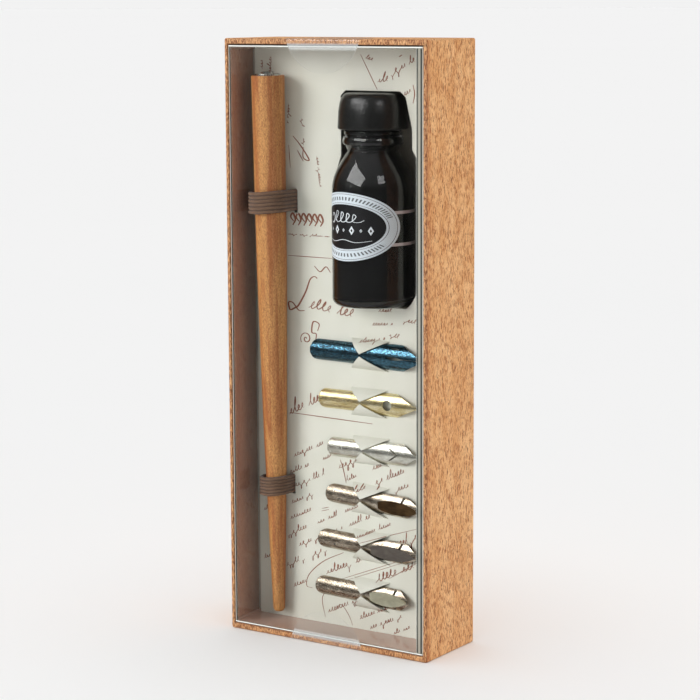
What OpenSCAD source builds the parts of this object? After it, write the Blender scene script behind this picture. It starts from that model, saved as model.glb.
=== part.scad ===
// Boxed dip pen set: a wooden penholder, six steel nibs and a bottle of ink on a card
// platform, in a paper-covered board tray that a clear tray closes from the front.
// X runs to the right, Y into the box, Z up. The origin is the middle of the base.

/* [Box] */
// Overall width of the box
box_w = 66.7; // [66:0.1:72]
// Overall depth of the box
box_d = 25.4; // [25.4:0.1:28]
// Overall height of the box
box_h = 170; // [169:0.5:180]
// Thickness of the board of the tray's back and end walls
board_t = 1.05; // [0.8:0.05:1.1]
// Thickness of the board of the tray's long side walls
side_board_t = 0.6; // [0.5:0.05:1.1]
// Thickness of the covering paper
paper_t = 0.25; // [0.15:0.01:0.25]
// Depth of the card platform behind the front edge of the box
card_depth = 12.04; // [11.9:0.01:12.2]
// Thickness of the card platform
card_t = 0.5; // [0.3:0.1:0.6]

/* [Clear cover] */
// Wall thickness of the clear tray
cover_t = 0.6; // [0.3:0.05:0.6]
// Clearance all round between the clear tray and the box
cover_gap = 0.2; // [0.15:0.05:0.4]
// Diameter of the round clear seals
seal_dia = 25; // [20:1:28]
// Height of the part of a seal that lies on the front
seal_front = 9.5; // [6:0.5:12]
// Thickness of a seal
seal_t = 0.08; // [0.05:0.01:0.1]

/* [Penholder] */
// Distance of the pen's axis from the middle of the box, to the left
pen_x = 23.1; // [22.8:0.1:23.6]
// Height of the pen's thin end above the base
pen_z = 4.3; // [4:0.1:6]
// Lean of the pen's top towards the front, in degrees
pen_lean = 1.1; // [1:0.05:1.2]
// Length of the wooden handle
pen_len = 155.35; // [150:0.05:156]
// Diameter of the steel ferrule
ferrule_dia = 7.2; // [7:0.1:7.6]

/* [Ink bottle] */
// Distance of the bottle's axis from the middle of the box, to the right
bottle_x = 8.3; // [8:0.1:8.6]
// Height of the bottle's base above the base of the box
bottle_z = 96.4; // [96:0.1:97]
// Outer diameter of the bottle's body
bottle_dia = 23; // [22.6:0.1:23]
// Outer diameter of the bottle's neck
neck_dia = 14.2; // [13.6:0.1:14.4]
// Outer diameter of the cap at its lower edge
cap_dia = 19.7; // [19.5:0.1:19.8]

/* [Nibs] */
// Outer radius of a nib's round shank
shank_r = 3.1; // [3.05:0.05:3.2]
// Outer radius of a nib's body
nib_r = 4.1; // [4:0.1:4.4]
// Thickness of the nib steel
nib_t = 0.3; // [0.2:0.05:0.3]
// Thickness of a reservoir plate
reservoir_t = 0.2; // [0.15:0.05:0.3]

/* [Hidden] */
$fn = 96;
front_y = -box_d / 2;
wall_t = board_t + 2 * paper_t;
side_t = side_board_t + 2 * paper_t;
back_y = box_d / 2 - paper_t - board_t;
card_y = front_y + card_depth;
card_back = card_y + card_t;
inner_w = box_w - 2 * side_t;
card_gap = 0.1;

// Clear cover
cover_face = front_y + seal_t;
cover_back = card_y - 0.04;
cover_w = inner_w - 2 * cover_gap;
cover_z0 = wall_t + cover_gap;
cover_z1 = box_h - wall_t - cover_gap;
seal_r = seal_dia / 2;
seal_fold = seal_dia - seal_front;
seal_bed = 0.01;
seal_bed_margin = 0.2;

// Pen: radius of the wood at heights above its thin end
PEN_PROFILE = [
    [0, 1.3], [0.6, 1.7], [21.7, 2.43], [40.7, 2.95], [50.7, 3.3],
    [78.7, 3.86], [100.7, 4.3], [128.7, 4.48], [pen_len - 0.25, 4.67], [pen_len, 4.5]
];
pen_touch = 78.7;
pen_gap = 0.12;
ferrule_wall = 0.35;
ferrule_depth = 22;
ferrule_proud = 0.45;
clutch_r = 1.8;
clutch_wall = 0.35;
clutch_proud = 0.95;
clutch_slots = 11;
clutch_slot_w = 0.5;
clutch_base = 1;
pen_r_touch = lookup(pen_touch, PEN_PROFILE);

// Elastic loops: [height of the middle, width along the pen, slack to the left of the pen]
LOOP_UPPER = [124, 6.2, 0.5];
LOOP_LOWER = [42, 5.4, 0.75];
loop_t = 1.2;
loop_gap = 0.25;
slot_margin = 0.2;

// Ink bottle
bottle_y = -0.3;
bottle_r = bottle_dia / 2;
neck_r = neck_dia / 2;
glass_t = 1.5;
heel_r = 2.2;
shoulder_lo = 32.3;
shoulder_hi = 42.8;
finish_top = 56.8;
bore_r = 5.4;
window_drop = 0.5;
window_head = 0.45;
ink_level = 53.8;
ink_gap = 0.03;
cap_lo = 48.8;
cap_hi = 58.8;
cap_r = cap_dia / 2;
cap_skirt_t = 1.2;
cap_top_t = 1.2;
cap_round = 1.8;
cap_taper = 0.6;
cap_edge = 0.4;
liner_r = 7.9;
liner_gap = 0.03;

// Bottle label
label_t = 0.08;
label_z = 22.6;
label_half_arc = 17;
label_half_h = 9.45;
label_turn = -12;
stripe_z = 4.4;
label_steps = 48;
stripe_h = 0.85;

// Nibs: [left end x, waist x, tip x, height of the waist, tilt in degrees]
NIB_PLACE = [
    [-11.5, 5.5, 26.6, 82.2, -0.75],
    [-9.1, 5.1, 24.1, 68.5, 0],
    [-6.2, 5.7, 24.0, 54.7, 0],
    [-6.9, 5.3, 24.6, 40.6, -3],
    [-9.6, 5.6, 23.7, 27.1, -2.2],
    [-10.6, 5.5, 20.9, 13.2, -1.8]
];
// Half widths: [shank, waist, body, tip]
NIB_WIDTH = [
    [3.0, 2.3, 3.75, 0.25],
    [2.8, 2.1, 3.35, 0.25],
    [2.8, 2.1, 3.1, 0.25],
    [2.8, 2.1, 3.1, 0.9],
    [2.8, 2.1, 3.1, 0.8],
    [2.8, 2.1, 3.1, 0.7]
];
// Where the body is widest, from the waist: [start, end]
NIB_WIDE = [[9.5, 13], [8.6, 11.5], [8.4, 13.2], [9, 14.5], [9, 14], [8, 12]];
// Reservoir plates on the broad nibs: [left end x, length, half width]
RESERVOIR = [[11.0, 13.4, 1.95], [8.6, 14.8, 2.05], [6.9, 13.4, 2.05]];
nib_rest = 0.1;
slit_w = 0.12;
tab_t = 0.35;
tab_gap = 0.15;
tab_gap_broad = 0.5;
tab_left = 4.3;
tab_right = 8.4;
tab_tip = 0.35;
tab_base_in = 3.3;
tab_window_in = [1, 0.3, 1.6];
slot_from_axis = 2.1;
slot_size = [0.35, 0.9];

function nib_arch(n) = max(
    nib_r - sqrt(nib_r * nib_r - NIB_WIDTH[n][2] * NIB_WIDTH[n][2]),
    shank_r - sqrt(shank_r * shank_r - NIB_WIDTH[n][0] * NIB_WIDTH[n][0])) + nib_rest;
function half_outline(n) = let(
    p = NIB_PLACE[n],
    w = NIB_WIDTH[n],
    left = p[0] - p[1],
    tip = p[2] - p[1],
    round_r = w[0] * 0.9
) concat(
    [for (a = [0 : 22.5 : 90]) [left + round_r * (1 - cos(a)), w[0] * (0.25 + 0.75 * sin(a))]],
    [
        [-3.4, w[0]], [0, w[1]], [NIB_WIDE[n][0], w[2]], [NIB_WIDE[n][1], w[2] * 0.98],
        [(NIB_WIDE[n][1] + tip) / 2, (w[2] + w[3]) * 0.55], [tip, w[3]]
    ]);
function mirrored(pts) = concat(pts, [for (i = [len(pts) - 1 : -1 : 0]) [pts[i][0], -pts[i][1]]]);

// A block centred in X, between two Y planes and two Z planes
module block(w, y0, y1, z0, z1)
    translate([-w / 2, y0, z0])
        cube([w, y1 - y0, z1 - z0]);

// A flat outline in X and Z, given thickness from plane y0 towards the front
module upright(y0, t)
    translate([0, y0, 0])
        rotate([90, 0, 0])
            linear_extrude(t)
                children();

// ---- The box ----

// Shallow beds in the paper where the seals lie pressed in over the rim
module seal_beds() {
    w = seal_dia + 2 * seal_bed_margin;
    t = seal_t + seal_bed;
    for (m = [0, 1])
        translate([0, 0, m * box_h])
            mirror([0, 0, m]) {
                block(w, front_y - 1, front_y + t, -1, wall_t + 1);
                block(w, front_y - 1, front_y + seal_fold + seal_bed_margin, -1, t);
            }
}

// The box without its paper, solid through
module board_block() {
    y0 = front_y + paper_t;
    y1 = box_d / 2 - paper_t;
    block(box_w - 2 * paper_t, y0, y1, paper_t, box_h - paper_t);
}

// The hollow between the board's walls, as deep as plane y1
module board_hollow(y1) {
    z0 = wall_t - paper_t;
    block(inner_w + 2 * paper_t, front_y - 1, y1, z0, box_h - z0);
}

// Board tray: a back and four walls
module box_board()
    color("#b9b2a6")
        difference() {
            board_block();
            board_hollow(back_y);
        }

// Cork-look paper: wraps the outside, folds over the rim and turns in as far as the card
module wrap_paper()
    color("#d39b62")
        difference() {
            block(box_w, front_y, box_d / 2, 0, box_h);
            difference() {
                board_block();
                board_hollow(card_back);
            }
            block(inner_w, front_y - 1, card_back + 0.01, wall_t, box_h - wall_t);
            seal_beds();
        }

// Opening in the card that the bottle stands in
module bottle_window() {
    foot = bottle_z - window_drop;
    head = bottle_z + cap_hi + window_head;
    polygon([
        [-0.7, head], [17.3, head], [19.1, head - 1.5], [21.2, 145.3], [21.2, 139.8],
        [22.8, 137.4], [22.8, 100.5], [20.8, 97.2], [19.3, foot], [-2.4, foot],
        [-3.9, foot + 1.5], [-3.9, 133], [-2.2, 137.5], [-2.2, head - 1.5]
    ]);
}

// Inner radius of a loop round the pen
function loop_r(loop) = lookup(loop[0] - pen_z, PEN_PROFILE) + loop_gap;

// Slots that a loop of elastic passes through
module loop_slots(loop)
    for (x = [-loop_r(loop) - loop[2] - loop_t / 2, loop_r(loop) + loop_t / 2])
        translate([-pen_x + x, loop[0]])
            square([loop_t + slot_margin, loop[1] + slot_margin], center = true);

// Placed on the card along a nib, with X along the nib from its waist
module in_nib_frame(n)
    translate([NIB_PLACE[n][1], card_y, NIB_PLACE[n][3]])
        rotate([0, -NIB_PLACE[n][4], 0])
            children();

// Triangle of card over one side of a nib's waist
module tab_triangle(base)
    polygon([[-tab_left, base], [0, tab_tip], [tab_right, base]]);

// A curved sheet that follows a nib's arch at a distance
module arch_sheet(n, r, t, x0, x1)
    translate([x0, -(nib_arch(n) - nib_r), 0])
        rotate([0, 90, 0])
            difference() {
                cylinder(h = x1 - x0, r = r + t);
                translate([0, 0, -1])
                    cylinder(h = x1 - x0 + 2, r = r);
            }

// The two pointed tabs that hold a nib down by its waist
module nib_tabs(n) {
    r = nib_r + (n < 3 ? tab_gap : tab_gap_broad);
    base = sqrt(pow(r + tab_t, 2) - pow(nib_r - nib_arch(n), 2)) + 0.05;
    in_nib_frame(n)
        intersection() {
            arch_sheet(n, r, tab_t, -tab_left - 1, tab_right + 1);
            upright(0.01, nib_r + 2)
                for (side = [0, 1])
                    mirror([0, side])
                        tab_triangle(base);
        }
}

// Windows left in the card where the tabs were raised
module tab_windows(n)
    translate([NIB_PLACE[n][1], NIB_PLACE[n][3]])
        rotate(NIB_PLACE[n][4])
            for (side = [0, 1])
                mirror([0, side])
                    polygon([
                        [tab_window_in[0] - tab_left, tab_base_in],
                        [0, tab_tip + tab_window_in[1]],
                        [tab_right - tab_window_in[2], tab_base_in]
                    ]);

// Printed card platform with flanges that fold back to the board
module insert_card() {
    w = inner_w - 2 * card_gap;
    z0 = wall_t + card_gap;
    z1 = box_h - wall_t - card_gap;
    color("#d8d7cb") {
        difference() {
            block(w, card_y, back_y, z0, z1);
            block(w - 2 * card_t, card_back, back_y + 1, z0 + card_t, z1 - card_t);
            upright(card_back + 1, card_t + 2) {
                bottle_window();
                loop_slots(LOOP_UPPER);
                loop_slots(LOOP_LOWER);
                for (n = [0 : len(NIB_PLACE) - 1])
                    tab_windows(n);
            }
        }
        for (n = [0 : len(NIB_PLACE) - 1])
            nib_tabs(n);
    }
}

// ---- Penholder ----

function pen_axis_y(z) = card_y - pen_r_touch - pen_gap - tan(pen_lean) * (z - pen_z - pen_touch);

module in_pen_frame()
    translate([-pen_x, pen_axis_y(pen_z), pen_z])
        rotate([pen_lean, 0, 0])
            children();

// Round over the pen, straight down both sides and across behind the card
module loop_outline(loop, t) {
    r = loop_r(loop) + t;
    y = pen_axis_y(loop[0]);
    translate([-pen_x, y]) {
        circle(r);
        translate([-loop[2], 0])
            circle(r);
        translate([-loop[2], -r])
            square([loop[2], r]);
        translate([-loop[2] - r, 0])
            square([2 * r + loop[2], card_back + t - y]);
    }
}

// A loop of flat elastic round the pen, closed behind the card
module pen_loop(loop)
    color("#6b5642")
        translate([0, 0, loop[0] - loop[1] / 2])
            linear_extrude(loop[1])
                difference() {
                    loop_outline(loop, loop_t);
                    loop_outline(loop, 0);
                }

module pen_loop_upper() pen_loop(LOOP_UPPER);

module pen_loop_lower() pen_loop(LOOP_LOWER);

// Turned wooden handle, bored at the thick end for the ferrule
module pen_handle()
    color("#b9793f")
        in_pen_frame()
            difference() {
                rotate_extrude()
                    polygon(concat([[0, 0]], [for (p = PEN_PROFILE) [p[1], p[0]]], [[0, pen_len]]));
                translate([0, 0, pen_len - ferrule_depth])
                    cylinder(h = ferrule_depth + 1, r = ferrule_dia / 2);
            }

// Steel tube pressed into the handle
module pen_ferrule()
    color("#b8b8b0")
        in_pen_frame()
            translate([0, 0, pen_len - ferrule_depth])
                difference() {
                    cylinder(h = ferrule_depth + ferrule_proud, r = ferrule_dia / 2);
                    translate([0, 0, ferrule_wall])
                        cylinder(h = ferrule_depth + 1, r = ferrule_dia / 2 - ferrule_wall);
                }

// Slotted inner tube that grips a nib's shank against the ferrule
module pen_clutch() {
    h = ferrule_depth + clutch_proud - ferrule_wall;
    color("#8f8f88")
        in_pen_frame()
            translate([0, 0, pen_len - ferrule_depth + ferrule_wall])
                difference() {
                    union() {
                        cylinder(h = h, r = clutch_r);
                        cylinder(h = clutch_base, r = ferrule_dia / 2 - ferrule_wall);
                    }
                    translate([0, 0, -1])
                        cylinder(h = h + 2, r = clutch_r - clutch_wall);
                    for (a = [0, 90])
                        rotate(a)
                            translate([-clutch_r - 1, -clutch_slot_w / 2, h - clutch_slots])
                                cube([2 * clutch_r + 2, clutch_slot_w, clutch_slots + 1]);
                }
}

// ---- Ink bottle ----

// Placed on the bottle's axis, with Z from its base
module in_bottle_frame()
    translate([bottle_x, bottle_y, bottle_z])
        children();

// Profile of the body and shoulder at a distance inside the outer face
function bottle_side(inset) = concat(
    [for (a = [0 : 22.5 : 90])
        [bottle_r - heel_r + (heel_r - inset) * sin(a), heel_r - (heel_r - inset) * cos(a)]],
    [for (t = [0 : 0.125 : 1])
        [neck_r - inset + (bottle_r - neck_r) * cos(90 * t),
            shoulder_lo + (shoulder_hi - shoulder_lo) * t - inset * 0.4]]);

module bottle_glass()
    color("#4a4f4c")
        in_bottle_frame()
            rotate_extrude()
                difference() {
                    polygon(concat(
                        [[0, 0]], bottle_side(0),
                        [
                            [neck_r, 44.4], [neck_r + 1.1, 44.7], [neck_r + 1.4, 45.7],
                            [neck_r + 1.1, 46.8], [neck_r + 0.4, 47], [neck_r + 0.9, 47.5],
                            [neck_r + 0.9, 48.4], [neck_r + 0.3, 48.7], [neck_r + 0.3, 50.2],
                            [neck_r + 1.1, 50.7], [neck_r + 1.1, 51.4], [neck_r + 0.3, 51.9],
                            [neck_r + 0.3, finish_top], [0, finish_top]
                        ]));
                    polygon(concat(
                        [[0, glass_t]], bottle_side(glass_t),
                        [[bore_r, shoulder_hi + 1], [bore_r, finish_top + 1], [0, finish_top + 1]]));
                }

module bottle_ink() {
    inset = glass_t + ink_gap;
    r = bore_r - ink_gap;
    color("#191b1d")
        in_bottle_frame()
            rotate_extrude()
                intersection() {
                    polygon(concat(
                        [[0, inset]], bottle_side(inset),
                        [[r, shoulder_hi + 1], [r, finish_top], [0, finish_top]]));
                    square([bottle_r, ink_level]);
                }
}

// An oval on a cylinder of radius r, seen from the front
function label_outline(r) = [
    for (i = [0 : label_steps - 1])
        let(a = 360 * i / label_steps, turn = label_half_arc * cos(a) / r * 180 / PI)
            [r * sin(turn), label_half_h * sin(a)]
];

// Oval paper label and the two printed stripes that run on round the bottle
module bottle_label() {
    r = bottle_r;
    color("#d2dee4")
        in_bottle_frame()
            rotate(label_turn)
                translate([0, 0, label_z])
                    intersection() {
                        difference() {
                            cylinder(h = 3 * label_half_h, r = r + label_t, center = true);
                            cylinder(h = 4 * label_half_h, r = r, center = true);
                        }
                        union() {
                            upright(0, r + 1)
                                polygon(label_outline(r));
                            for (side = [-1, 1])
                                translate([0, 0, side * stripe_z - stripe_h / 2])
                                    cylinder(h = stripe_h, r = r + 1);
                        }
                    }
}

// Moulded screw cap
module bottle_cap()
    color("#1b1c1b")
        in_bottle_frame()
            rotate_extrude()
                difference() {
                    polygon(concat(
                        [[0, cap_lo], [cap_r - cap_edge, cap_lo], [cap_r, cap_lo + cap_edge]],
                        [for (a = [0 : 22.5 : 90]) [
                            cap_r - cap_taper - cap_round * (1 - cos(a)),
                            cap_hi - cap_round * (1 - sin(a))
                        ]],
                        [[0, cap_hi]]));
                    translate([0, cap_lo - 1])
                        square([cap_r - cap_skirt_t, cap_hi - cap_top_t - cap_lo + 1]);
                }

// Soft disc that seals the mouth of the bottle
module cap_liner()
    color("#dcdcd6")
        in_bottle_frame()
            translate([0, 0, finish_top + liner_gap])
                cylinder(h = cap_hi - cap_top_t - finish_top - 2 * liner_gap, r = liner_r);

// ---- Nibs ----

// A nib pressed from sheet: a round shank and a wider arched body with a slit
module nib_blank(n) {
    w = NIB_WIDTH[n];
    left = NIB_PLACE[n][0] - NIB_PLACE[n][1];
    tip = NIB_PLACE[n][2] - NIB_PLACE[n][1];
    in_nib_frame(n)
        difference() {
            intersection() {
                upright(0, 2 * nib_r)
                    polygon(mirrored(half_outline(n)));
                union() {
                    arch_sheet(n, nib_r - nib_t, nib_t, 0, tip + 1);
                    translate([0, shank_r - nib_r, 0])
                        arch_sheet(n, shank_r - nib_t, nib_t, left - 1, 0.5);
                }
            }
            upright(1, nib_r + 2)
                children();
            translate([NIB_WIDE[n][1] - 1, -nib_r - 1, -slit_w / 2])
                cube([tip, nib_r + 2, slit_w]);
        }
}

module nib_blue_index()
    color("#3f86b4")
        nib_blank(0)
            polygon([[8.2, 0], [10.4, 0.45], [12.2, 0.4], [13.6, 0], [12.2, -0.4], [10.4, -0.45]]);

module nib_gilt_round_vent()
    color("#d8c37a")
        nib_blank(1)
            translate([8.8, 0])
                circle(1.6);

module nib_silver_chevron()
    color("#cfcfc8")
        nib_blank(2)
            polygon([[8.8, 1.3], [10.9, 0], [8.8, -1.3], [9.2, -1.3], [11.4, 0], [9.2, 1.3]]);

// Slots in the flanks that a reservoir's lugs engage
module flank_slots(x)
    for (side = [-1, 1])
        translate([x, side * slot_from_axis])
            square(slot_size, center = true);

module nib_broad_large() color("#b39d80") nib_blank(3) flank_slots(14.2);

module nib_broad_medium() color("#ab9a83") nib_blank(4) flank_slots(13.2);

module nib_broad_small() color("#b1a08a") nib_blank(5) flank_slots(11.2);

// Leaf-shaped plate over the crown of a broad nib
module reservoir(k) {
    n = k + 3;
    x0 = RESERVOIR[k][0] - NIB_PLACE[n][1];
    l = RESERVOIR[k][1];
    w = RESERVOIR[k][2];
    in_nib_frame(n)
        translate([x0, 0, 0])
            upright(-nib_arch(n), reservoir_t)
                polygon(mirrored([
                    [0, w * 0.5], [l * 0.15, w * 0.78], [l * 0.35, w], [l * 0.6, w * 0.95],
                    [l * 0.8, w * 0.65], [l * 0.93, w * 0.3], [l, 0.08]
                ]));
}

module reservoir_large() color("#5f4b34") reservoir(0);

module reservoir_medium() color("#787068") reservoir(1);

module reservoir_small() color("#a5a58c") reservoir(2);

// ---- Clear cover ----

// Panels of the clear tray that lies inside the rim with its open side on the card
module cover_panel()
    color("#c8d2d2", 0.3)
        children();

module cover_front()
    cover_panel()
        block(cover_w, cover_face, cover_face + cover_t, cover_z0, cover_z1);

module cover_side(x)
    cover_panel()
        translate([x, 0, 0])
            block(cover_t, cover_face + cover_t, cover_back, cover_z0, cover_z1);

module cover_wall_left() cover_side((cover_t - cover_w) / 2);

module cover_wall_right() cover_side((cover_w - cover_t) / 2);

module cover_end(z)
    cover_panel()
        block(cover_w - 2 * cover_t, cover_face + cover_t, cover_back, z, z + cover_t);

module cover_wall_top() cover_end(cover_z1 - cover_t);

module cover_wall_bottom() cover_end(cover_z0);

// Round clear seal folded over the lower front edge of the box
module seal() {
    middle = seal_r - seal_front;
    color("#e2e6e4", 0.4) {
        intersection() {
            upright(front_y + seal_t, seal_t)
                translate([0, -middle])
                    circle(seal_r);
            block(seal_dia, front_y - 1, front_y + 1, 0, seal_dia);
        }
        intersection() {
            translate([0, front_y + middle, 0])
                cylinder(h = seal_t, r = seal_r);
            block(seal_dia, front_y, box_d, 0, 1);
        }
    }
}

module seal_bottom() seal();

module seal_top()
    translate([0, 0, box_h])
        mirror([0, 0, 1])
            seal();

box_board();
wrap_paper();
insert_card();
pen_loop_upper();
pen_loop_lower();
cover_front();
cover_wall_left();
cover_wall_right();
cover_wall_top();
cover_wall_bottom();
seal_top();
seal_bottom();
pen_handle();
pen_ferrule();
pen_clutch();
bottle_glass();
bottle_ink();
bottle_label();
bottle_cap();
cap_liner();
nib_blue_index();
nib_gilt_round_vent();
nib_silver_chevron();
nib_broad_large();
nib_broad_medium();
nib_broad_small();
reservoir_large();
reservoir_medium();
reservoir_small();
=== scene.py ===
"""Boxed dip pen set: pieces, materials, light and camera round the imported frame.

Sizes are in millimetres unless a name says otherwise. Every mesh is built where it lies in the
row frame, so Object coordinates in the materials are row coordinates in metres."""

import math
import random

import bmesh
import bpy
from mathutils import Matrix, Vector
from mathutils.bvhtree import BVHTree


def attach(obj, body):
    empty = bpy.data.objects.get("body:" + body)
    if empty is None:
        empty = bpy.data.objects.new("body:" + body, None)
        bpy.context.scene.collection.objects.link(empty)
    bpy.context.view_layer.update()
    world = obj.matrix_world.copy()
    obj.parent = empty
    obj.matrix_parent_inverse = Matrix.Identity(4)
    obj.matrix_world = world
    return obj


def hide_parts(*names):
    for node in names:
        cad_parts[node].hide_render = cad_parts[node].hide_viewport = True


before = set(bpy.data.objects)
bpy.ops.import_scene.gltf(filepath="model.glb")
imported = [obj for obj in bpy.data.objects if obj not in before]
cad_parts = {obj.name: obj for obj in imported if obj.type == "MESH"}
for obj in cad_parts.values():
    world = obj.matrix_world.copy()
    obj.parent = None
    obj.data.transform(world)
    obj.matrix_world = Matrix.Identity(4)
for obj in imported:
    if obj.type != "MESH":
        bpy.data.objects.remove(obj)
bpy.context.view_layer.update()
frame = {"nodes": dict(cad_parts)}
scene = bpy.context.scene
nodes = frame["nodes"]

MM = 0.001

# ---- sizes shared by the pieces

BOX_W, BOX_D, BOX_H = 66.7, 25.4, 170.0
FRONT_Y = -BOX_D / 2
OUTER_ROUND, RIM_ROUND, FOLD_ROUND = 0.56, 0.16, 0.35
PAPER_T = 0.25
INNER_HALF_W = 32.25
END_T = 1.55
CARD_Y, CARD_BACK_Y = -0.66, -0.16

COVER_HALF_W, COVER_T = 32.05, 0.6
COVER_LOW, COVER_HIGH = 1.75, 168.25
COVER_FRONT_Y, COVER_BACK_Y = -12.62, -0.70

SEAL_R, SEAL_ON_FRONT = 12.5, 9.5

PEN_X, PEN_Z, PEN_LEAN = -23.1, 4.3, math.radians(1.1)
PEN_TOUCH, PEN_TOUCH_R, PEN_GAP = 78.7, 3.86, 0.12
PEN_LEN = 155.35
FERRULE_R, FERRULE_DEPTH = 3.6, 22.0

BOTTLE_X, BOTTLE_Y, BOTTLE_Z = 8.3, -0.3, 96.4
BOTTLE_R, NECK_R, MOUTH_R = 11.5, 7.1, 5.4
LABEL_R, LABEL_Z = BOTTLE_R + 0.08, BOTTLE_Z + 22.6
LABEL_TURN = math.radians(12)
LABEL_HALF_ARC, LABEL_HALF_H, LABEL_T = 17.0, 9.45, 0.09
PRINT_T = 0.015


def pen_axis_y(z):
    return CARD_Y - PEN_TOUCH_R - PEN_GAP - math.tan(PEN_LEAN) * (z - PEN_Z - PEN_TOUCH)


# ---- mesh helpers


def add_object(name, data):
    obj = bpy.data.objects.new(name, data)
    scene.collection.objects.link(obj)
    return obj


def shade(mesh, sharp):
    """Smooth, but for edges that bend by more than sharp degrees."""
    mesh.shade_smooth()
    mesh.set_sharp_from_angle(angle=math.radians(sharp))


def build(name, points, faces, sharp=35, refine=None):
    """A mesh object from points in millimetres, with its normals outwards."""
    mesh = bpy.data.meshes.new(name)
    mesh.from_pydata([tuple(c * MM for c in p) for p in points], [], faces)
    bm = bmesh.new()
    bm.from_mesh(mesh)
    bmesh.ops.recalc_face_normals(bm, faces=bm.faces)
    if refine:
        refine(bm)
    bm.to_mesh(mesh)
    bm.free()
    if sharp:
        shade(mesh, sharp)
    return add_object(name, mesh)


def bevel(bm, edges, width, segments):
    """Rounds edges off, to a width in millimetres."""
    reach = width * MM
    bmesh.ops.bevel(bm, geom=edges, offset=reach, segments=segments, profile=0.5, affect="EDGES")


def ring_faces(count, *starts):
    """Bands of quads between closed rings of points: starts are their first points, in order."""
    faces = []
    for low, high in zip(starts, starts[1:]):
        for i in range(count):
            j = (i + 1) % count
            faces.append((low + i, low + j, high + j, high + i))
    return faces


def grid_faces(rows, cols, wrap_rows=False, wrap_cols=False, start=0, flip=False):
    """Quads between points laid out row by row."""
    faces = []
    for i in range(rows if wrap_rows else rows - 1):
        low, high = start + i * cols, start + (i + 1) % rows * cols
        for j in range(cols if wrap_cols else cols - 1):
            k = (j + 1) % cols
            quad = (low + j, low + k, high + k, high + j)
            faces.append(quad[::-1] if flip else quad)
    return faces


def shell(name, outer, inner, sharp=35):
    """A closed sheet between two grids of points of the same size."""
    rows, cols = len(outer), len(outer[0])
    points = [p for row in outer + inner for p in row]
    shift = rows * cols
    faces = grid_faces(rows, cols) + grid_faces(rows, cols, start=shift, flip=True)
    rim = list(range(cols)) + [i * cols + cols - 1 for i in range(1, rows)]
    rim += range(shift - 2, shift - cols - 1, -1)
    rim += [i * cols for i in range(rows - 2, 0, -1)]
    faces += [(q, p, p + shift, q + shift) for p, q in zip(rim, rim[1:] + rim[:1])]
    return build(name, points, faces, sharp)


def sheet(name, rows, cols, place, levels, sharp):
    """A closed sheet of which place gives a point, from a share of each side and a level."""
    grids = [
        [[place(i / rows, j / cols, level) for j in range(cols + 1)] for i in range(rows + 1)]
        for level in levels
    ]
    return shell(name, *grids, sharp)


def lathe(name, profile, place, steps, sharp=35):
    """Turns (radius, height) points about the Z axis, then puts the result at place."""
    points, rings, faces = [], [], []
    for r, z in profile:
        count = steps if r > 1e-6 else 1
        rings.append([len(points) + i % count for i in range(steps)])
        for i in range(count):
            a = 2 * math.pi * i / steps
            points.append(place @ Vector((r * math.cos(a), r * math.sin(a), z)))
    for low, high in zip(rings, rings[1:]):
        for i in range(steps):
            j = (i + 1) % steps
            face = tuple(dict.fromkeys((low[i], low[j], high[j], high[i])))
            if len(face) > 2:
                faces.append(face)
    return build(name, points, faces, sharp)


def soften(points, steps=5):
    """Rounds a profile's corners. A point's third number is how far its rounding reaches."""
    out = []
    for i, p in enumerate(points):
        here = Vector(p[:2])
        if len(p) < 3 or i in (0, len(points) - 1):
            out.append(tuple(here))
            continue
        back, on = Vector(points[i - 1][:2]) - here, Vector(points[i + 1][:2]) - here
        a = here + back.normalized() * min(p[2], back.length * 0.5)
        b = here + on.normalized() * min(p[2], on.length * 0.5)
        for k in range(steps + 1):
            t = k / steps
            out.append(tuple(a * (1 - t) ** 2 + here * 2 * t * (1 - t) + b * t * t))
    return out


def thicken(obj, thickness):
    """Gives an open sheet its thickness, inwards."""
    solid = obj.modifiers.new("thickness", "SOLIDIFY")
    solid.thickness = thickness * MM
    solid.offset = -1


def apply_modifiers(obj):
    """Leaves the object's shape as its modifiers make it."""
    graph = bpy.context.evaluated_depsgraph_get()
    mesh = bpy.data.meshes.new_from_object(obj.evaluated_get(graph))
    obj.modifiers.clear()
    old, obj.data = obj.data, mesh
    bpy.data.meshes.remove(old)


def cut(obj, cutters, sharp):
    """Takes the cutters' shapes out of the object, then removes them."""
    for cutter in cutters:
        hole = obj.modifiers.new("cut", "BOOLEAN")
        hole.operation = "DIFFERENCE"
        hole.solver = "EXACT"
        hole.object = cutter
    bpy.context.view_layer.update()
    apply_modifiers(obj)
    for cutter in cutters:
        bpy.data.objects.remove(cutter)
    shade(obj.data, sharp)


def bezier_chain(points, steps=8):
    """A smooth line through 2-D points (Catmull-Rom)."""
    pts = [Vector(p) for p in points]
    pts = [2 * pts[0] - pts[1]] + pts + [2 * pts[-1] - pts[-2]]
    out = []
    for a, b, c, d in zip(pts, pts[1:], pts[2:], pts[3:]):
        for k in range(steps):
            t = k / steps
            bend = (2 * a - 5 * b + 4 * c - d) * t * t
            out.append(0.5 * (2 * b + (c - a) * t + bend + (3 * b - 3 * c + d - a) * t**3))
    return out + [pts[-2]]


def between(low, high, x):
    """0 at low, 1 at high, smooth in between."""
    t = min(max((x - low) / (high - low), 0), 1)
    return t * t * (3 - 2 * t)


def along(points, x, reach):
    """Height of a polyline of (x, y) points at x, its corners blunted within the reach."""
    total = 0
    for place in (x - reach, x, x + reach):
        for (x0, y0), (x1, y1) in zip(points, points[1:]):
            if place <= x1:
                total += y0 + (y1 - y0) * max(0, place - x0) / (x1 - x0)
                break
        else:
            total += points[-1][1]
    return total / 3


# ---- material helpers


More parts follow.
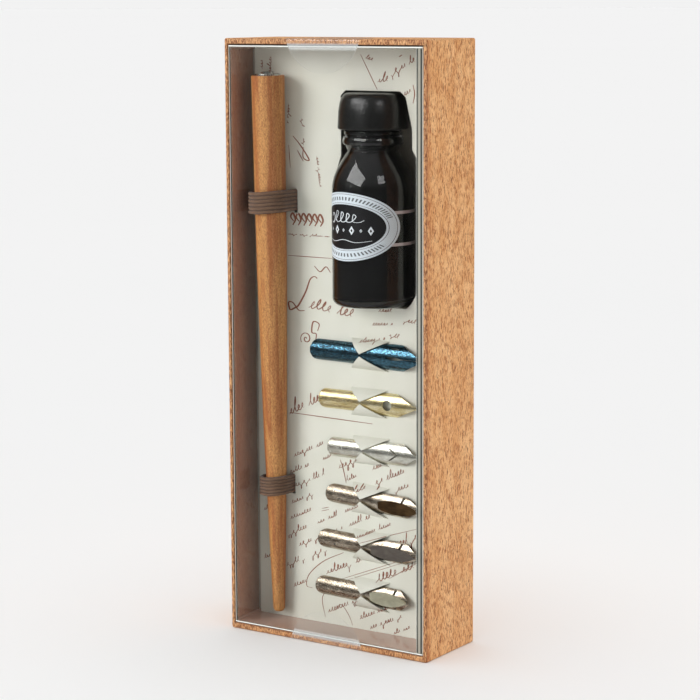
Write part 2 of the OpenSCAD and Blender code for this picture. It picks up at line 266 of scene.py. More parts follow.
def srgb(r, g, b):
    """A display colour of 0 to 255 as a shader's linear colour."""
    parts = [c / 255 for c in (r, g, b)]
    return tuple(c / 12.92 if c <= 0.04045 else ((c + 0.055) / 1.055) ** 2.4 for c in parts) + (1.0,)


def grey(v):
    return (v, v, v, 1.0)


class Value:
    """A shader value that sums can be written with."""

    def __init__(self, nodes, socket):
        self.nodes, self.socket = nodes, socket

    def __rsub__(self, other):
        return self.nodes.math("SUBTRACT", other, self)


# Signs for the sums of two shader values, or of one
SIGNS = {"add": "ADD", "sub": "SUBTRACT", "mul": "MULTIPLY", "truediv": "DIVIDE"}
SIGNS.update({"lt": "LESS_THAN", "gt": "GREATER_THAN", "abs": "ABSOLUTE"})


def sum_of(kind):
    return lambda value, *others: value.nodes.math(kind, value, *others)


for sign, operation in SIGNS.items():
    setattr(Value, f"__{sign}__", sum_of(operation))


class Nodes:
    """A node tree with short ways to add to it."""

    def __init__(self, tree):
        self.tree = tree

    def put(self, socket, value):
        value = getattr(value, "socket", value)
        if isinstance(value, bpy.types.NodeSocket):
            self.tree.links.new(value, socket)
        else:
            socket.default_value = value

    def add(self, kind, inputs=None, out=0, **settings):
        """A node with its inputs and settings, of which one output is handed back."""
        node = self.tree.nodes.new("ShaderNode" + kind)
        for key, value in settings.items():
            setattr(node, key, value)
        for key, value in (inputs or {}).items():
            self.put(node.inputs[key], value)
        return Value(self, node.outputs[out]) if node.outputs else None

    def math(self, kind, *values):
        return self.add("Math", dict(enumerate(values)), operation=kind)

    def blend(self, share, shader, other):
        return self.add("MixShader", {0: share, 1: shader, 2: other})

    def split(self, place):
        parts = self.add("SeparateXYZ", {0: place}).socket.node.outputs
        return [Value(self, part) for part in parts]

    def ramp(self, factor, stops):
        ramp = self.add("ValToRGB", {"Fac": factor})
        elements = ramp.socket.node.color_ramp.elements
        elements[0].position, elements[0].color = stops[0]
        elements[1].position, elements[1].color = stops[-1]
        for position, color in stops[1:-1]:
            elements.new(position).color = color
        return ramp


class Look(Nodes):
    """A material in the making."""

    def __init__(self, name):
        self.material = bpy.data.materials.new(name)
        self.material.use_nodes = True
        super().__init__(self.material.node_tree)
        self.bsdf = self.tree.nodes["Principled BSDF"]
        self.place = self.add("TexCoord", out="Object")

    def scaled(self, x, y, z):
        """Coordinates in which one unit is x, y and z millimetres."""
        scale = (1 / (x * MM), 1 / (y * MM), 1 / (z * MM))
        return self.add("Mapping", {"Vector": self.place, "Scale": scale})

    def noise(self, size, detail=2.0, roughness=0.5, distortion=0.0):
        values = {"Vector": self.scaled(*size), "Scale": 1.0, "Detail": detail}
        values.update({"Roughness": roughness, "Distortion": distortion})
        return self.add("TexNoise", values, "Fac")

    def step(self, factor, low, high):
        """0 below low, 1 above high."""
        return self.ramp(factor, [(low, grey(0)), (high, grey(1))])

    def spots(self, size, detail, roughness, low, high):
        return self.step(self.noise(size, detail, roughness), low, high)

    def mix(self, factor, a, b):
        return self.add("Mix", {0: factor, 6: a, 7: b}, 2, data_type="RGBA")

    def xyz(self):
        """The place's three parts, in millimetres."""
        return self.split(self.scaled(1, 1, 1))

    def bump(self, height, depth):
        """Normals of a relief whose full height is depth millimetres."""
        return self.add("Bump", {"Height": height, "Distance": depth * MM, "Strength": 1.0})

    def finish(self, color, roughness, normal=None, specular=0.5, **values):
        values.update({"Base Color": color, "Roughness": roughness})
        values["Specular IOR Level"] = specular
        if normal:
            values["Normal"] = normal
        for key, value in values.items():
            self.put(self.bsdf.inputs[key.replace("_", " ")], value)
        return self.material


def dress(obj, *materials):
    obj.data.materials.clear()
    for material in materials:
        obj.data.materials.append(material)


def own(obj, look, body, slot, *replaced):
    """Finishes a piece: its look, its body and the nodes that it stands for; the material slot is not
    used.
    """
    dress(obj, look)
    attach(obj, body)
    if replaced:
        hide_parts(*replaced)


# ---- materials


def cork_paper():
    look = Look("cork_paper")
    x, y, z = look.xyz()
    streak = srgb(178, 108, 58)
    tone = look.spots((4, 4, 9), 3, 0.5, 0.35, 0.65)
    color = look.mix(tone, srgb(228, 170, 112), srgb(244, 194, 138))
    fine = look.noise((0.2, 0.2, 0.55), 3, 0.7)
    color = look.mix(look.step(fine, 0.42, 0.68) * 0.5, color, streak)
    flecks = look.spots((0.4, 0.4, 1.5), 2, 0.6, 0.51, 0.6)
    color = look.mix(flecks * 0.85, color, streak)
    pits = look.spots((0.42, 0.42, 1.8), 3, 0.62, 0.59, 0.66)
    color = look.mix(pits * 0.9, color, srgb(124, 66, 34))
    # the folded front edges are redder and darker, in patches on the sides
    near_front = look.math("MAXIMUM", 1.0 - (y - FRONT_Y) / 2.4, 0.0)
    patchy = look.spots((0.9, 0.9, 2.6), 3, 0.65, 0.38, 0.62)
    on_side = abs(x) > BOX_W / 2 - 0.45
    patchy = patchy * (on_side * 0.75 + 0.12)
    color = look.mix(near_front * (patchy + 0.06), color, srgb(168, 88, 48))
    # narrow front rims: duskier, with short dark strokes
    on_rim = y < FRONT_Y + 0.4
    strokes = look.spots((0.26, 0.26, 1.1), 2, 0.6, 0.49, 0.56)
    color = look.mix(on_rim * 0.4, color, srgb(196, 152, 108))
    color = look.mix(on_rim * strokes * 0.9, color, srgb(112, 60, 32))
    # the part turned in to the card is duller
    inside = (abs(x) < INNER_HALF_W + 0.15) * (abs(y) < BOX_D / 2 - 0.5)
    turned_in = inside * (abs(z - BOX_H / 2) < BOX_H / 2 - 1)
    color = look.mix(turned_in * 0.55, color, srgb(214, 160, 146))
    relief = look.bump(fine * 0.4 - (flecks + pits), 0.04)
    return look.finish(color, 0.6, relief, specular=0.35)


def mottled(name, dark, bright, roughness, size, detail=2, grit=0.5, span=None, depth=0, specular=0.5):
    """Two colours that go over into each other in clouds of a size, with some relief."""
    look = Look(name)
    clouds = look.noise(size, detail, grit)
    share = look.step(clouds, *span) if span else clouds
    relief = look.bump(clouds, depth) if depth else None
    return look.finish(look.mix(share, dark, bright), roughness, relief, specular)


def printed_card():
    look = Look("printed_card")
    clouds = look.spots((14, 14, 18), 3, 0.5, 0.3, 0.7)
    fibres = look.noise((0.1, 0.1, 0.25), 3, 0.7)
    color = look.mix(clouds, srgb(210, 211, 198), srgb(220, 221, 210))
    color = look.mix(fibres * 0.12, color, srgb(188, 182, 162))
    return look.finish(color, 0.72, look.bump(fibres, 0.008), specular=0.3)


def elastic_band(name, shade):
    look = Look(name)
    threads = look.noise((0.3, 0.3, 0.2), 3, 0.7)
    weave = {"Vector": look.scaled(1.1, 1.1, 1.6), "Scale": 1.0, "Distortion": 1.5, "Detail": 1.0}
    twist = look.add("TexWave", weave, "Fac", bands_direction="DIAGONAL")
    color = look.mix(look.step(threads, 0.35, 0.7), srgb(84, 59, 43), srgb(158, 120, 88))
    # the twist's dark strands, plus shade: painted shade that darkens a whole look towards the strand
    # colour, used for the valleys between the ribs
    color = look.mix(twist * 0.45 + shade, color, srgb(52, 36, 29))
    return look.finish(color, 0.8, look.bump(threads + twist * 0.6, 0.12), Sheen_Weight=0.2)


def pen_wood():
    look = Look("pen_wood")
    bands = look.noise((1.9, 1.9, 34), 3, distortion=0.6)
    mottle = look.spots((0.4, 0.4, 1.3), 4, 0.75, 0.46, 0.62)
    grain = look.noise((0.2, 0.2, 5), 4, 0.65)
    pores = look.spots((0.2, 0.2, 0.6), 3, 0.65, 0.46, 0.6)
    color = look.mix(look.step(bands, 0.38, 0.6), srgb(180, 112, 62), srgb(214, 158, 94))
    color = look.mix(mottle * 0.4, color, srgb(142, 82, 44))
    color = look.mix(look.step(grain, 0.45, 0.75) * 0.35, color, srgb(150, 92, 52))
    color = look.mix(pores * 0.5, color, srgb(110, 58, 32))
    return look.finish(color, 0.5, look.bump(grain * 0.5 - pores, 0.015), specular=0.35)


# Where the stamped part of a nib ends, just short of its waist
STAMP_END = 4.4


def metal(name, dark, bright, roughness, brush=(2.5, 0.12, 0.12), stamped=0.0, clouds=4):
    """Bare or coloured metal: brush marks, cloudy colour and, on a shank, small stamped dents darkened
    with painted shade.
    """
    look = Look(name)
    marks = look.noise(brush, 4, 0.7)
    cloud = look.spots((clouds, clouds / 2, clouds / 2), 3, 0.6, 0.35, 0.65)
    color = look.mix(cloud, dark, bright)
    height, depth = marks, 0.004
    if stamped:
        dents = look.spots((0.34, 0.3, 0.34), 1, 0.5, 0.5, 0.55)
        dents = dents * (look.xyz()[0] < STAMP_END)
        # painted shade: the stamped dents are darkened towards the dark colour, by the share stamped
        color = look.mix(dents * stamped, color, dark)
        height, depth = marks * 0.12 - dents, 0.06
    rough = marks * 0.14 + (roughness - 0.07)
    return look.finish(color, rough, look.bump(height, depth), Metallic=1.0)


def bottle_glass():
    look = Look("bottle_glass")
    ripple = look.bump(look.noise((9, 9, 14), 1), 0.05)
    return look.finish(srgb(236, 240, 236), 0.02, ripple, Transmission_Weight=1.0, IOR=1.5)


def cap_plastic():
    look = Look("cap_plastic")
    grain = look.noise((0.14, 0.14, 0.14), 3, 0.7)
    dust = look.spots((0.3, 0.3, 0.3), 2, 0.5, 0.72, 0.8)
    color = look.mix(dust * 0.15, srgb(22, 23, 22), srgb(70, 70, 68))
    return look.finish(color, grain * 0.08 + 0.24, look.bump(grain, 0.004), specular=0.4)


def label_paper():
    """Black oval, pale ring with fine border lines, and a row of dashes round the ring."""
    look = Look("label_paper")
    x, y, z = look.xyz()
    arc = (look.math("ARCTAN2", x - BOTTLE_X, BOTTLE_Y - y) + LABEL_TURN) * LABEL_R
    rise = z - LABEL_Z

    def oval(half_arc, half_height):
        a, b = arc / half_arc, rise / half_height
        return look.math("SQRT", a * a + b * b), look.math("ARCTAN2", b, a)

    inner, angle = oval(12.7, 6.15)
    outer, _ = oval(LABEL_HALF_ARC, LABEL_HALF_H)
    middle, _ = oval(14.7, 7.75)
    fibres = look.noise((0.1, 0.1, 0.1), 3)
    color = look.mix(fibres * 0.1, srgb(212, 222, 228), srgb(180, 186, 190))
    high = look.math("SINE", angle)
    top_or_bottom = (high > 0.34) + (high < -0.62)
    dash = look.math("SINE", angle * 84) > 0.1
    marks = dash * top_or_bottom * (abs(middle - 1.0) < 0.06)
    color = look.mix(marks * 0.85, color, srgb(52, 54, 58))
    for value, centre, half in ((inner, 1.065, 0.008), (outer, 0.95, 0.006)):
        color = look.mix(abs(value - centre) < half, color, srgb(96, 98, 102))
    color = look.mix(inner < 1.0, color, srgb(20, 21, 23))
    return look.finish(color, 0.42, look.bump(fibres, 0.006), specular=0.35)


# Distance above the middle of the box where a seal's look is told from
SEAL_ZONE = 80.0

# Painted light along the clear tray's edges, for their highlights, reflections and the shadow in the
# gap to the rim: distance from the outer edge, colour, and how much it covers. SLATE lines are painted
# shade, PALE ones painted highlights, MIST a painted grey haze.
EDGE_REACH = 2.4
SLATE, PALE, MIST = srgb(62, 66, 62), srgb(236, 238, 232), srgb(160, 156, 144)
RIGHT_EDGE_PAINTED_LIGHT = [(0.0, PALE, 0.8), (0.14, PALE, 0.8), (0.24, SLATE, 0.95), (0.7, SLATE, 0.95)]
RIGHT_EDGE_PAINTED_LIGHT += [(0.8, MIST, 0.9), (1.45, MIST, 0.8), (1.55, SLATE, 0.9), (1.95, SLATE, 0.85)]
RIGHT_EDGE_PAINTED_LIGHT += [(2.05, PALE, 0.4), (2.2, PALE, 0.0)]
LEFT_EDGE_PAINTED_LIGHT = [(0.0, SLATE, 0.9), (0.15, SLATE, 0.9), (0.26, PALE, 0.5), (0.36, PALE, 0.5)]
LEFT_EDGE_PAINTED_LIGHT += [(0.46, SLATE, 0.9), (0.82, SLATE, 0.85), (0.95, MIST, 0.2), (1.15, MIST, 0.0)]
END_EDGE_PAINTED_LIGHT = [(0.0, SLATE, 0.9), (0.2, SLATE, 0.85), (0.28, PALE, 0.95), (0.54, PALE, 0.95)]
END_EDGE_PAINTED_LIGHT += [(0.62, SLATE, 0.6), (0.8, MIST, 0.15), (1.1, MIST, 0.0)]


def clear_plastic(name, mirror, tint, veil=None, veil_color=srgb(236, 240, 240)):
    """Thin clear sheet: light goes straight on, with some mirroring, and over it either a veil or
    painted light and shade for the lines that the tray's edges show."""
    look = Look(name)
    x, y, z = look.xyz()
    scratch = look.noise((0.3, 0.3, 8))
    straight = look.add("BsdfTransparent", {"Color": tint})
    gloss = look.add("BsdfGlossy", {"Color": grey(1), "Roughness": 0.04})
    # Schlick's share of mirrored light, the same from both sides of the sheet
    facing = look.add("LayerWeight", {"Blend": 0.5}, "Facing")
    share = look.math("POWER", facing, 5.0) * (0.96 * mirror) + 0.04 * mirror
    surface = look.blend(share * (scratch * 0.2 + 0.9), straight, gloss)
    if veil:
        # bonded film is clear; where it bridges the gap at the rim it turns white. On the tray's walls
        # the same veil is painted light, a pinkish haze that is strongest towards the ends.
        on_pane, bridging, on_paper = (grey(v) for v in veil)
        zone = BOX_H / 2 - SEAL_ZONE
        rim = (zone - END_T) / zone
        stops = [(0, on_pane), (rim * 0.5, on_pane), (rim * 0.62, bridging)]
        stops += [(rim, bridging), (rim + 0.08, on_paper), (1, on_paper)]
        cover = look.ramp((abs(z - BOX_H / 2) - SEAL_ZONE) / zone, stops)
        surface = look.blend(cover, surface, look.add("BsdfDiffuse", {"Color": veil_color}))
    else:
        # painted highlights, reflections and shade in lines along the tray's edges, on its outer face
        outside = y < COVER_FRONT_Y + COVER_T / 2
        edges = ((COVER_HALF_W - x, RIGHT_EDGE_PAINTED_LIGHT), (x + COVER_HALF_W, LEFT_EDGE_PAINTED_LIGHT))
        edges += ((COVER_HIGH - z, END_EDGE_PAINTED_LIGHT), (z - COVER_LOW, END_EDGE_PAINTED_LIGHT))
        for distance, stops in edges:
            part = distance / EDGE_REACH
            color = look.ramp(part, [(p / EDGE_REACH, c) for p, c, _ in stops])
            cover = look.ramp(part, [(p / EDGE_REACH, grey(a)) for p, _, a in stops]) * outside
            surface = look.blend(cover, surface, look.add("BsdfDiffuse", {"Color": color}))
    look.put(look.tree.nodes["Material Output"].inputs["Surface"], surface)
    return look.material


SPECK, DUST, FIBRES, CELLS = (0.08,) * 3, (0.12,) * 3, (0.15, 0.15, 0.9), (0.15,) * 3
CORK, CARD, WOOD = cork_paper(), printed_card(), pen_wood()
# the second elastic look is painted shade for the valleys between the ribs
ELASTIC, ELASTIC_PAINTED_SHADE = elastic_band("elastic", 0.0), elastic_band("elastic_gap_painted_shade", 0.5)
GLASS, CAP, LABEL = bottle_glass(), cap_plastic(), label_paper()
GREYS = srgb(168, 160, 146), srgb(192, 186, 172)
BOARD = mottled("greyboard", *GREYS, 0.85, FIBRES, 4, 0.7, (0.35, 0.7), 0.04)
BROWNS = srgb(122, 74, 58), srgb(168, 122, 100)
SEPIA = mottled("sepia_print", *BROWNS, 0.75, DUST, 3, 0.7, (0.4, 0.75), specular=0.2)
INK = mottled("black_ink", srgb(8, 8, 9), srgb(13, 13, 14), 0.4, (6, 6, 9), 1, specular=0.1)
FOAM = mottled("liner_foam", srgb(222, 222, 216), srgb(236, 236, 230), 0.9, CELLS, depth=0.03)
LABEL_WHITE = mottled("label_white", srgb(206, 214, 218), srgb(226, 232, 236), 0.45, SPECK)
STRIPE = mottled("label_stripe", srgb(184, 172, 172), srgb(204, 194, 194), 0.45, SPECK)
ALONG_PEN = (0.12, 0.12, 2.5)
NICKEL = metal("nickel_steel", srgb(176, 176, 170), srgb(206, 206, 200), 0.26, brush=ALONG_PEN)
BLUED = metal("blued_steel", srgb(26, 44, 54), srgb(92, 136, 156), 0.24, stamped=0.8, clouds=0.7)
GILT = metal("gilt_steel", srgb(218, 198, 140), srgb(250, 238, 196), 0.27, stamped=0.6, clouds=3)
SILVER = metal("silver_steel", srgb(214, 212, 198), srgb(246, 246, 234), 0.26, stamped=0.5, clouds=3)
BRONZE = metal("bronze_steel", srgb(140, 128, 112), srgb(216, 204, 184), 0.27, stamped=0.8, clouds=3)
BROWN_BRASS = metal("brown_brass", srgb(72, 54, 34), srgb(108, 84, 54), 0.42)
GREY_BRASS = metal("grey_brass", srgb(112, 104, 98), srgb(134, 127, 118), 0.45)
PALE_BRASS = metal("pale_brass", srgb(204, 204, 178), srgb(230, 230, 206), 0.5)
PANE = clear_plastic("clear_plastic_pane", 0.2, grey(0.985))
# painted light: the tray's walls get a pinkish diffuse haze that stands in for light in the box's
# shaded inside
WALL_PAINTED_HAZE = {"veil": (0.08, 0.38, 0.38), "veil_color": srgb(232, 196, 178)}
WALL = clear_plastic("clear_plastic_wall", 1.6, grey(0.985), **WALL_PAINTED_HAZE)
FILM = clear_plastic("seal_film", 0.3, grey(1.0), veil=(0.015, 0.24, 0.03))
FILM_EDGE = clear_plastic("seal_film_edge", 0.4, grey(0.98), veil=(0.07, 0.36, 0.06))


# ---- the box


def box_skin():
    """Covering paper: outside faces, rim and the part turned in as far as the card."""

    def ring(half, y, low, high):
        return [(-half, y, low), (half, y, low), (half, y, high), (-half, y, high)]

    def round_edges(bm):
        if bm.faces[0].normal.y < 0:
            bmesh.ops.reverse_faces(bm, faces=bm.faces)
        bevel(bm, [e for e in bm.edges if all(v.index < 8 for v in e.verts)], OUTER_ROUND, 5)
        rim = [e for e in bm.edges if e.is_valid and e.calc_face_angle(0) > 1.2]
        rim = [e for e in rim if all(abs(v.co.y - FRONT_Y * MM) < 1e-6 for v in e.verts)]
        bevel(bm, rim, RIM_ROUND, 3)

    points = ring(BOX_W / 2, BOX_D / 2, 0, BOX_H) + ring(BOX_W / 2, FRONT_Y, 0, BOX_H)
    for y in (FRONT_Y, CARD_BACK_Y):
        points += ring(INNER_HALF_W, y, END_T, BOX_H - END_T)
    faces = [(0, 1, 2, 3)] + ring_faces(4, 0, 4, 8, 12)
    obj = build("box_wrap", points, faces, 40, round_edges)
    thicken(obj, PAPER_T)
    apply_modifiers(obj)
    own(obj, CORK, "case", "cork_paper", "wrap_paper")


box_skin()
dress(nodes["box_board"], BOARD)
dress(nodes["insert_card"], CARD)


# ---- nibs

SHANK_R, BODY_R, NIB_T, SLIT_W = 3.1, 4.1, 0.28, 0.11


class Nib:
    """Where a nib lies on the card and how wide it is along its length."""

    def __init__(self, left, waist, tip, height, tilt, widths, wide, shank_round):
        self.left, self.tip = left - waist, tip - waist
        self.widths, self.wide, self.shank_round = widths, wide, shank_round
        place = Matrix.Translation((waist, CARD_Y, height))
        self.place = place @ Matrix.Rotation(math.radians(-tilt), 4, "Y")
        sides = ((BODY_R, widths[2]), (SHANK_R, widths[0]))
        self.arch = 0.1 + max(r - math.sqrt(r**2 - half**2) for r, half in sides)

    def half_width(self, x):
        shank, waist, body, tip = self.widths
        start, end = self.wide
        taper = self.tip - end
        line = [
            (self.left, shank),
            (-3.4, shank),
            (0, waist),
            (start * 0.55, waist + (body - waist) * 0.66),
            (start, body),
            (end, body * 0.985),
            (end + taper * 0.5, (body - tip) * 0.47 + tip),
            (end + taper * 0.8, (body - tip) * 0.16 + tip),
            (self.tip, tip),
        ]
        w = along(line, x, 0.35)
        near = (x - self.left) / (self.shank_round * shank)
        if near < 1:
            w *= 0.3 + 0.7 * math.sqrt(max(0, 1 - (1 - near) ** 2))
        return w

    def point(self, x, v, inset=0.0):
        """A point on the pressed sheet at x along and v across the nib."""
        r = SHANK_R + (BODY_R - SHANK_R) * between(-1.2, 1.6, x)
        k = (r - inset) / r
        h = self.arch - r + math.sqrt(max(0, (r - inset) ** 2 - (v * k) ** 2))
        return self.place @ Vector((x, -h, v * k))

    def prism(self, outline, reach=6):
        """A cutter with this outline that goes right through the sheet."""
        n = len(outline)
        points = [self.place @ Vector((x, y, v)) for y in (0.5, -reach) for x, v in outline]
        faces = [tuple(range(n)), tuple(range(2 * n - 1, n - 1, -1))] + ring_faces(n, 0, n)
        return build("cutter", points, faces, None)

    def slit(self, start):
        half = SLIT_W / 2
        return [(start, -half), (self.tip + 1, -half), (self.tip + 1, half), (start, half)]

    def pressed(self, name, holes):
        """The nib's sheet, with its slit and vents cut out."""

        def place(t, u, inset):
            x = self.left + (self.tip - self.left) * t
            return self.point(x, self.half_width(x) * (2 * u - 1), inset)

        obj = sheet(name, 110, 28, place, (0, NIB_T), 40)
        cut(obj, [self.prism(hole) for hole in holes], 40)
        return obj


NIBS = {
    "index": Nib(-11.5, 5.5, 26.6, 82.2, -0.75, (3.0, 2.3, 3.75, 0.12), (9.5, 13), 0.5),
    "round_vent": Nib(-9.1, 5.1, 24.1, 68.5, 0, (2.8, 2.1, 3.35, 0.12), (8.6, 11.5), 0.5),
    "chevron": Nib(-6.2, 5.7, 24.0, 54.7, 0, (2.8, 2.1, 3.1, 0.12), (8.4, 13.2), 0.35),
    "large": Nib(-6.9, 5.3, 24.6, 40.6, -3, (2.8, 2.1, 3.1, 0.9), (9, 14.5), 0.75),
    "medium": Nib(-9.6, 5.6, 23.7, 27.1, -2.2, (2.8, 2.1, 3.1, 0.8), (9, 14), 0.75),
    "small": Nib(-10.6, 5.5, 20.9, 13.2, -1.8, (2.8, 2.1, 3.1, 0.7), (8, 12), 0.75),
}


def ellipse(x, v, r, steps=32):
    turn = [2 * math.pi * i / steps for i in range(steps)]
    return [(x + r * math.cos(t), v + r * math.sin(t)) for t in turn]


def lens(x0, x1, half, v=0, steps=14):
    share = [i / steps for i in range(steps + 1)]
    top = [(x0 + (x1 - x0) * t, half * math.sin(math.pi * t)) for t in share]
    return [(x, v + h) for x, h in top + [(x, -h) for x, h in top[-2:0:-1]]]


def slot_across(x, v, length, width, lean):
    w, h = width / 2, length / 2
    c, s = math.cos(lean), math.sin(lean)
    corners = [(-w, -h), (w, -h), (w, h), (-w, h)]
    return [(x + p * c - q * s, v + p * s + q * c) for p, q in corners]


def make_nibs():
    flanks = [lens(9.2, 12.6, 0.26, side * 2.55) for side in (-1, 1)]
    vee = [(8.4, 1.75), (11.1, 0.05), (11.1, -0.05), (8.4, -1.75), (9.2, -1.75), (12.0, 0), (9.2, 1.75)]
    pointed = [
        ("index", BLUED, "blued_steel", "nib_blue_index", 13.5, lens(8.0, 13.8, 0.5), flanks),
        ("round_vent", GILT, "gilt_steel", "nib_gilt_round_vent", 10.1, ellipse(8.8, 0, 1.5), []),
        ("chevron", SILVER, "silver_steel", "nib_silver_chevron", 11.7, vee, []),
    ]
    for kind, look, slot, replaced, slit_from, vent, more in pointed:
        nib = NIBS[kind]
        obj = nib.pressed(f"{kind}_nib_sheet", [vent, nib.slit(slit_from)] + more)
        own(obj, look, f"{kind}_nib", slot, replaced)

    for size, vent_x in (("large", 13.5), ("medium", 12.5), ("small", 10.5)):
        nib = NIBS[size]
        holes = [slot_across(vent_x, s * 2.0, 1.7, 0.75, -s * 0.3) for s in (-1, 1)]
        holes += [nib.slit(nib.wide[1] - 1), ellipse(nib.left * 0.62, -0.9, 0.28, 16)]
        obj = nib.pressed(f"broad_nib_{size}_sheet", holes)
        own(obj, BRONZE, f"broad_nib_{size}", "bronze_steel", f"nib_broad_{size}")


make_nibs()


# Leaf plates: start along the nib, length, half width, how low it lies, look
LEAVES = {
    "large": (5.7, 13.4, 1.95, 0.4, BROWN_BRASS, "brown_brass"),
    "medium": (3.0, 14.8, 2.05, 0.4, GREY_BRASS, "grey_brass"),
    "small": (2.7, 12.1, 2.05, 0.12, PALE_BRASS, "pale_brass"),
}
LEAF_OUTLINE = [(0, 0.52), (0.04, 0.62), (0.15, 0.83), (0.35, 1), (0.6, 0.96), (0.8, 0.66)]
LEAF_OUTLINE += [(0.93, 0.3), (1, 0.03)]


def reservoir(size):
    """Leaf-shaped plate, dished a little, lying low on the nib's crown."""
    start, length, half, drop, look, slot = LEAVES[size]
    nib = NIBS[size]
    thick, lift, dish, roll = 0.2, 0.24, 0.12, math.radians(7)

    def place(t, u, level):
        v = half * along(LEAF_OUTLINE, t, 0.02) * (2 * u - 1)
        h = nib.arch + lift - level - dish * (1 - (v / half) ** 2) * math.sin(math.pi * t)
        return nib.place @ Vector((start + length * t, -h - v * math.tan(roll), v - drop))

    obj = sheet(f"reservoir_{size}_leaf", 48, 12, place, (0, thick), 50)
    own(obj, look, f"broad_nib_{size}", slot, f"reservoir_{size}")


for leaf_size in LEAVES:
    reservoir(leaf_size)


# ---- penholder

PEN_OUTLINE = [(0, 0), (1.25, 0, 0.5), (1.72, 0.9, 0.4), (2.43, 21.7), (2.95, 40.7), (3.3, 50.7)]
PEN_OUTLINE += [(3.86, 78.7), (4.3, 100.7), (4.48, 128.7), (4.67, PEN_LEN - 0.1, 0.4)]
PEN_OUTLINE += [(4.5, PEN_LEN, 0.12), (FERRULE_R, PEN_LEN, 0.1)]
PEN_OUTLINE += [(FERRULE_R, PEN_LEN - FERRULE_DEPTH), (0, PEN_LEN - FERRULE_DEPTH)]


def penholder():
    lean = Matrix.Rotation(PEN_LEAN, 4, "X")
    place = Matrix.Translation((PEN_X, pen_axis_y(PEN_Z), PEN_Z)) @ lean
    obj = lathe("pen_handle_turned", soften(PEN_OUTLINE), place, 72)
    own(obj, WOOD, "pen", "pen_wood", "pen_handle")
    base, top = PEN_LEN - FERRULE_DEPTH, PEN_LEN + 0.45
    floor_t, outer, inner = 0.35, FERRULE_R - 0.01, FERRULE_R - 0.35
    tube = [(0, base), (outer, base), (outer, top, 0.12), (inner, top, 0.12)]
    tube += [(inner, base + floor_t), (0, base + floor_t)]
    obj = lathe("pen_ferrule_tube", soften(tube), place, 72)
    own(obj, NICKEL, "pen", "nickel_steel", "pen_ferrule")
    dress(nodes["pen_clutch"], NICKEL)


penholder()


# ---- elastic loops

# Height of the middle, width along the pen, slack to the left, radius of the wood there, and
# how much higher the band's right end is than its left end
LOOPS = {"upper": (124, 6.2, 0.5, 4.443, 1.1), "lower": (42, 5.4, 0.75, 2.851, 0.9)}
LOOP_T, LOOP_GAP, LOOP_CORNER = 1.2, 0.25, 0.7
RIBS, PER_RIB = 6, 6


def arc_path(x, y, r, first, last, steps):
    """Places and outward directions along an arc, between two angles in degrees."""
    turns = [math.radians(first + (last - first) * i / steps) for i in range(steps + 1)]
    ways = [(math.cos(a), math.sin(a)) for a in turns]
    return [(x + r * c, y + r * s, c, s) for c, s in ways]


def loop_path(r, y, back, slack):
    """Middle line of a band, seen from above: round the pen and closed behind the card."""
    left, right, corner = -slack - r, r, back - LOOP_CORNER
    share = [i / 8 for i in range(8)]
    path = [(left, corner + (y - corner) * t, -1, 0) for t in share]
    path += arc_path(-slack, y, r, 180, 270, 24) + arc_path(0, y, r, 270, 360, 24)
    path += [(right, y + (corner - y) * t, 1, 0) for t in share[1:]]
    path += arc_path(right - LOOP_CORNER, corner, LOOP_CORNER, 0, 90, 4)
    return path + arc_path(left + LOOP_CORNER, corner, LOOP_CORNER, 90, 175, 4)


def ribbed_section(width):
    """Outline of the band across its width: high round ribs outside, flat ones inside."""
    half_rib, outer, inner = width / RIBS / 2, 0.48, 0.2
    angles = [math.pi * (k + 0.5) / PER_RIB for k in range(PER_RIB)]
    ups = [(2 * i + 1 - RIBS) * half_rib - half_rib * math.cos(a) for i in range(RIBS) for a in angles]
    bulges = [math.sin(a) - 1 for a in angles] * RIBS
    section = [(LOOP_T / 2 + outer * bulge, up) for bulge, up in zip(bulges, ups)]
    return section + [(-inner * bulge - LOOP_T / 2, -up) for bulge, up in zip(bulges, ups)]


def elastic_loop(which, seed):
    """A ribbed band round the pen, down through the card and closed behind it."""
    z, width, slack, wood_r, rise = LOOPS[which]
    r = wood_r + LOOP_GAP + LOOP_T / 2
    path = loop_path(r, pen_axis_y(z), CARD_BACK_Y + LOOP_T / 2, slack)
    section = ribbed_section(width)
    rng = random.Random(seed)
    points = []
    for x, y, nx, ny in path:
        lean = rise * (x / (2 * r) if x > 0 else 0.35 * x / (2 * r))
        for out, up in section:
            wave = 0.03 * math.sin(4 * x + 3 * y + up * 2) + rng.uniform(-0.01, 0.01)
            points.append((PEN_X + x + nx * out, y + ny * out, z + up + wave + lean))
    faces = grid_faces(len(path), len(section), wrap_rows=True, wrap_cols=True)
    obj = build(f"pen_loop_{which}_band", points, faces, 75)
    own(obj, ELASTIC, "case", "elastic", f"pen_loop_{which}")
    # faces in the valleys between the outer ribs get the painted-shade look
    obj.data.materials.append(ELASTIC_PAINTED_SHADE)
    for poly in obj.data.polygons:
        place = poly.index % len(section)
        in_shaded_gap = place < len(section) / 2 and place % PER_RIB in (0, PER_RIB - 2, PER_RIB - 1)
        poly.material_index = 1 if in_shaded_gap else 0


elastic_loop("upper", 7)
elastic_loop("lower", 8)


# ---- ink bottle


def bottle_side(inset, floor):
    """Heel, body and shoulder at a distance inside the outer face."""
    heel, low, high = 2.2, 32.3, 42.8
    out = []
    for i in range(9):
        a = math.pi / 2 * i / 8
        r = BOTTLE_R - heel + (heel - inset) * math.sin(a)
        out.append((r, floor + (heel - inset) * (1 - math.cos(a))))
    for i in range(21):
        t = i / 20
        r = NECK_R - inset + (BOTTLE_R - NECK_R) * math.cos(math.pi / 2 * t)
        out.append((r, low + (high - low) * t - inset * 0.4))
    return out


